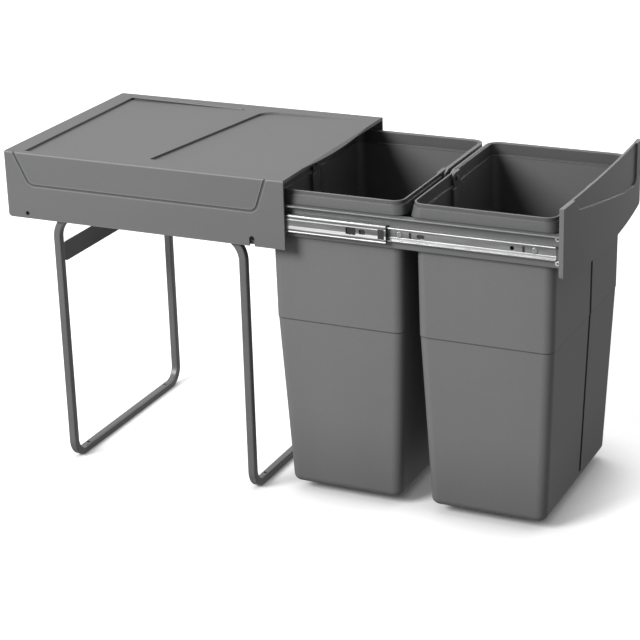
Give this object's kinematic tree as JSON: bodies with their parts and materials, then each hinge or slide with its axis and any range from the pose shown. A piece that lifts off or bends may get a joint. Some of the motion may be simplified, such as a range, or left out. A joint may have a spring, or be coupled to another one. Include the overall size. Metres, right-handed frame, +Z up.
{
  "type": "pull-out recycling bin",
  "caption": "Pull-out waste unit for a base cupboard: lift-out bins with handles on a carrier with a front panel, on full-extension ball slides under a fixed cover on tube legs.",
  "frame": {"origin": "on the cupboard floor, midway between the four floor screws", "axes": "+X out of the cupboard towards the user, +Z up, Y across"},
  "size_m": [0.7403, 0.3, 0.421],
  "materials": {
    "cover_plastic": "fine matte",
    "panel_plastic": "fine matte",
    "bin_plastic": "satin",
    "handle_plastic": "satin",
    "frame_tube": "powder coated",
    "carrier_steel": "powder coated",
    "slide_steel": "zinc plated",
    "cage_steel": "zinc plated",
    "ball_steel": "polished",
    "fastener_steel": "zinc plated",
    "stop_plastic": "matte"
  },
  "bodies": {
    "cabinet": {"cover_shell": "cover_plastic", "cover_screws": "fastener_steel", "left_side_plate": "carrier_steel", "right_side_plate": "carrier_steel", "front_leg_hoop": "frame_tube", "rear_leg_hoop": "frame_tube", "hoop_rivets": "fastener_steel", "rear_stop_strap": "carrier_steel", "strap_rivets": "fastener_steel", "left_slide_outer": "slide_steel", "right_slide_outer": "slide_steel", "outer_slide_rivets": "fastener_steel"},
    "carrier": {"left_slide_inner": "slide_steel", "right_slide_inner": "slide_steel", "left_carrier_rail": "carrier_steel", "right_carrier_rail": "carrier_steel", "carrier_rear_crossbar": "carrier_steel", "crossbar_rivets": "fastener_steel", "slide_rivets": "fastener_steel", "front_panel": "panel_plastic", "panel_screws": "fastener_steel"},
    "rear_bin": {"rear_bin": "bin_plastic"},
    "front_bin": {"front_bin": "bin_plastic"},
    "rear_handle": {"rear_handle": "handle_plastic"},
    "front_handle": {"front_handle": "handle_plastic"},
    "left_slide_middle": {"left_slide_middle": "slide_steel", "left_end_stop": "stop_plastic"},
    "left_outer_cage": {"left_outer_cage": "cage_steel", "left_outer_balls": "ball_steel"},
    "left_inner_cage": {"left_inner_cage": "cage_steel", "left_inner_balls": "ball_steel"},
    "right_slide_middle": {"right_slide_middle": "slide_steel", "right_end_stop": "stop_plastic"},
    "right_outer_cage": {"right_outer_cage": "cage_steel", "right_outer_balls": "ball_steel"},
    "right_inner_cage": {"right_inner_cage": "cage_steel", "right_inner_balls": "ball_steel"}
  },
  "joints": [
    {"name": "drawer_slide", "type": "slide", "parent": "cabinet", "child": "carrier", "axis": [1, 0, 0], "range_m": [-0.34, 0]},
    {"name": "front_bin_lift", "type": "slide", "parent": "carrier", "child": "front_bin", "axis": [0, 0, 1], "range_m": [0, 0.42]},
    {"name": "rear_bin_lift", "type": "slide", "parent": "carrier", "child": "rear_bin", "axis": [0, 0, 1], "range_m": [0, 0.004]},
    {"name": "front_handle_swing", "type": "hinge", "parent": "front_bin", "child": "front_handle", "pos_m": [0.4366, 0, 0.396], "axis": [1, 0, 0], "range_deg": [0, 95]},
    {"name": "rear_handle_swing", "type": "hinge", "parent": "rear_bin", "child": "rear_handle", "pos_m": [0.2496, 0, 0.396], "axis": [1, 0, 0], "range_deg": [0, 2]},
    {"name": "left_slide_middle_run", "type": "slide", "parent": "cabinet", "child": "left_slide_middle", "axis": [1, 0, 0], "range_m": [-0.17, 0]},
    {"name": "left_outer_cage_run", "type": "slide", "parent": "cabinet", "child": "left_outer_cage", "axis": [1, 0, 0], "range_m": [-0.085, 0]},
    {"name": "left_inner_cage_run", "type": "slide", "parent": "cabinet", "child": "left_inner_cage", "axis": [1, 0, 0], "range_m": [-0.255, 0]},
    {"name": "right_slide_middle_run", "type": "slide", "parent": "cabinet", "child": "right_slide_middle", "axis": [1, 0, 0], "range_m": [-0.17, 0]},
    {"name": "right_outer_cage_run", "type": "slide", "parent": "cabinet", "child": "right_outer_cage", "axis": [1, 0, 0], "range_m": [-0.085, 0]},
    {"name": "right_inner_cage_run", "type": "slide", "parent": "cabinet", "child": "right_inner_cage", "axis": [1, 0, 0], "range_m": [-0.255, 0]}
  ],
  "couplings": [
    {"joint": "left_slide_middle_run", "follows": "drawer_slide", "ratio": 0.5},
    {"joint": "left_outer_cage_run", "follows": "drawer_slide", "ratio": 0.25},
    {"joint": "left_inner_cage_run", "follows": "drawer_slide", "ratio": 0.75},
    {"joint": "right_slide_middle_run", "follows": "drawer_slide", "ratio": 0.5},
    {"joint": "right_outer_cage_run", "follows": "drawer_slide", "ratio": 0.25},
    {"joint": "right_inner_cage_run", "follows": "drawer_slide", "ratio": 0.75}
  ]
}
